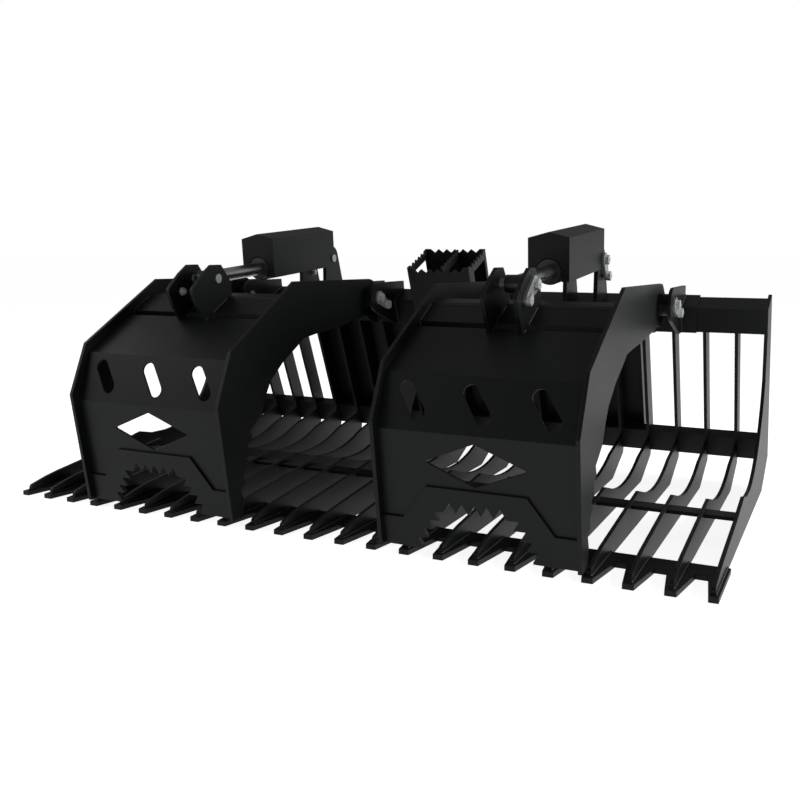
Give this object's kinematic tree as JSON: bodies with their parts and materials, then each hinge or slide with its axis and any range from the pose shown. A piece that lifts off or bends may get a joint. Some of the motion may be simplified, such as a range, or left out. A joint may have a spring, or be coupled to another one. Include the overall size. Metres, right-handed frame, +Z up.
{
  "type": "grapple bucket",
  "caption": "Wide grapple bucket for a loader: open comb floor of bent steel tines, leaning back with beam and hydraulic lids with toothed legs.",
  "frame": {"origin": "middle of the bottom of the closed grapple bucket, on the floor", "axes": "+X to the right seen from the tips, +Y from the tips towards the loader, +Z up"},
  "size_m": [1.973, 1.2664, 0.7935],
  "materials": {
    "black_paint": "satin black powder coat",
    "zinc_plate": "zinc plated",
    "chrome_rod": "hard chrome",
    "bare_steel": "machined and oiled"
  },
  "bodies": {
    "frame": {"base_ears": "black_paint", "base_pins": "zinc_plate", "beam_doubler": "black_paint", "comb_plate": "black_paint", "coupler_gussets": "black_paint", "coupler_plates": "black_paint", "end_tine_left": "black_paint", "end_tine_right": "black_paint", "flag_bolts": "zinc_plate", "hinge_ears_left": "black_paint", "hinge_ears_right": "black_paint", "hinge_pins": "zinc_plate", "lower_ledges": "black_paint", "mid_cross_bar": "black_paint", "pin_flags": "zinc_plate", "rear_tube": "black_paint", "step_plates": "black_paint", "step_sides": "black_paint", "tines_1": "black_paint", "tines_2": "black_paint", "tines_3": "black_paint", "tines_4": "black_paint", "tines_5": "black_paint", "tines_6": "black_paint", "tines_7": "black_paint", "top_beam": "black_paint", "upper_lip": "black_paint"},
    "lid_left": {"clevis_ears_left": "black_paint", "cross_tube_left": "black_paint", "hinge_hubs_left": "bare_steel", "lid_skin_left": "black_paint", "rod_flag_left": "zinc_plate", "rod_pin_left": "zinc_plate", "side_plates_left": "black_paint", "wear_plate_left": "black_paint"},
    "barrel_left": {"barrel_left": "black_paint", "base_eye_left": "black_paint", "cover_front_left": "black_paint", "cover_left": "black_paint", "gland_left": "black_paint"},
    "rod_left": {"piston_left": "bare_steel", "rod_eye_left": "black_paint", "rod_left": "chrome_rod"},
    "lid_right": {"clevis_ears_right": "black_paint", "cross_tube_right": "black_paint", "hinge_hubs_right": "bare_steel", "lid_skin_right": "black_paint", "rod_flag_right": "zinc_plate", "rod_pin_right": "zinc_plate", "side_plates_right": "black_paint", "wear_plate_right": "black_paint"},
    "barrel_right": {"barrel_right": "black_paint", "base_eye_right": "black_paint", "cover_front_right": "black_paint", "cover_right": "black_paint", "gland_right": "black_paint"},
    "rod_right": {"piston_right": "bare_steel", "rod_eye_right": "black_paint", "rod_right": "chrome_rod"}
  },
  "joints": [
    {"name": "lid_left_hinge", "type": "hinge", "parent": "frame", "child": "lid_left", "pos_m": [-0.459, 0.16842, 0.5672], "axis": [-1, 0, 0], "range_deg": [0, 45]},
    {"name": "barrel_left_hinge", "type": "hinge", "parent": "frame", "child": "barrel_left", "pos_m": [-0.459, 0.27592, 0.6886], "axis": [-1, 0, 0], "range_deg": [0, 39.04]},
    {"name": "rod_left_slide", "type": "slide", "parent": "barrel_left", "child": "rod_left", "axis": [0, 0.9968, 0.0803], "range_m": [0, 0.10857]},
    {"name": "lid_right_hinge", "type": "hinge", "parent": "frame", "child": "lid_right", "pos_m": [0.459, 0.16842, 0.5672], "axis": [-1, 0, 0], "range_deg": [0, 45]},
    {"name": "barrel_right_hinge", "type": "hinge", "parent": "frame", "child": "barrel_right", "pos_m": [0.459, 0.27592, 0.6886], "axis": [-1, 0, 0], "range_deg": [0, 39.04]},
    {"name": "rod_right_slide", "type": "slide", "parent": "barrel_right", "child": "rod_right", "axis": [0, 0.9968, 0.0803], "range_m": [0, 0.10857]}
  ],
  "couplings": [
    {"joint": "barrel_left_hinge", "follows": "lid_left_hinge", "ratio": 0.863},
    {"joint": "rod_left_slide", "follows": "lid_left_hinge", "m_per_rad": 0.1376},
    {"joint": "barrel_right_hinge", "follows": "lid_right_hinge", "ratio": 0.863},
    {"joint": "rod_right_slide", "follows": "lid_right_hinge", "m_per_rad": 0.1376}
  ]
}
